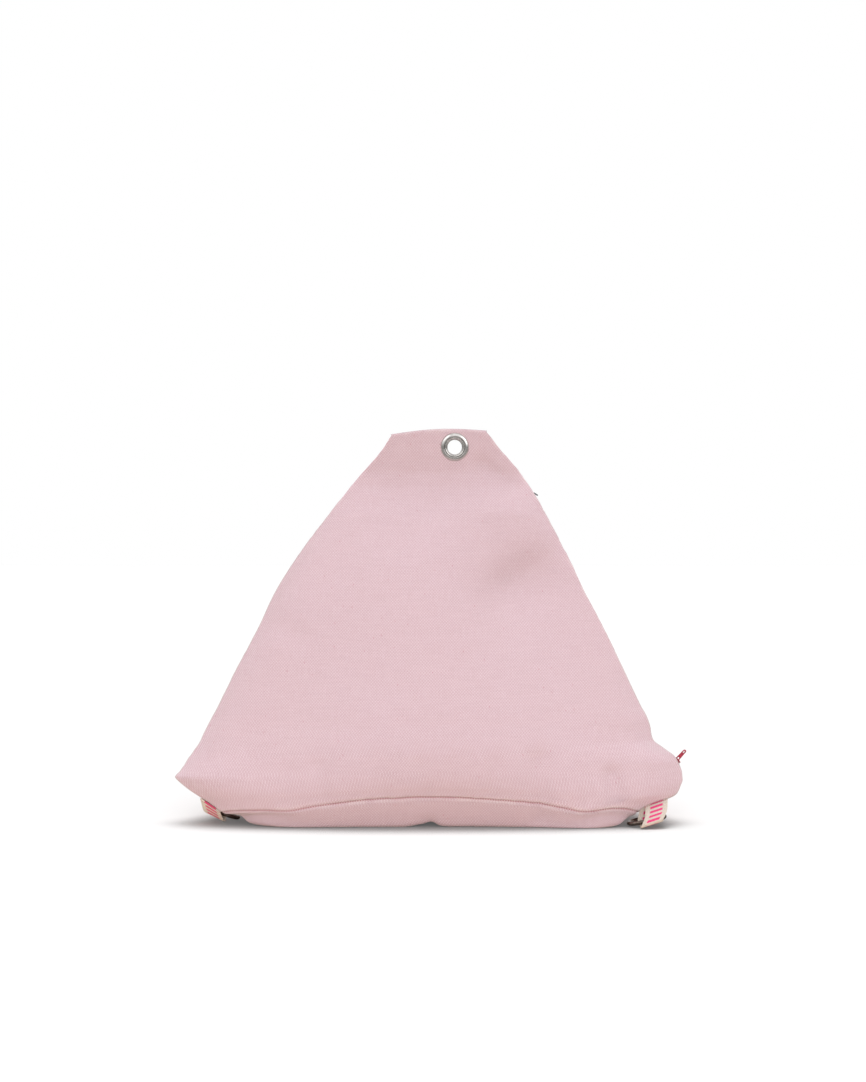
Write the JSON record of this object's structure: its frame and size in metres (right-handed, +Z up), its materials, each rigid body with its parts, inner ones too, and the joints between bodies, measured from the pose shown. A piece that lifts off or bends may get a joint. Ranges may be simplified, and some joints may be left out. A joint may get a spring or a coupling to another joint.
{
  "type": "pouf",
  "caption": "Pyramid-shaped floor pouf in pink woven canvas with cut-off corners, a metal eyelet in its flat top corner and striped webbing loops that hold oval metal rings.",
  "frame": {"origin": "centre of the footprint box, on the floor", "axes": "+Z up, the face with the eyelet's flange looks along -Y, +X towards the corner with the zip pull"},
  "size_m": [0.5599, 0.4346, 0.4316],
  "materials": {
    "canvas": "plain weave of white and pink yarns, matt",
    "webbing": "natural webbing with woven pink bars",
    "nickel": "bright nickel plate",
    "crimson": "satin enamel",
    "steel": "dull pressed metal"
  },
  "bodies": {
    "root": {"pouf_body": "canvas", "top_tab": "canvas", "eyelet": "nickel", "eyelet_washer": "nickel", "loop_left": "webbing", "loop_right": "webbing", "ring_left": "nickel", "ring_right": "nickel", "zip_slider": "crimson", "zip_pull": "crimson", "zip_stop": "steel"}
  },
  "joints": []
}
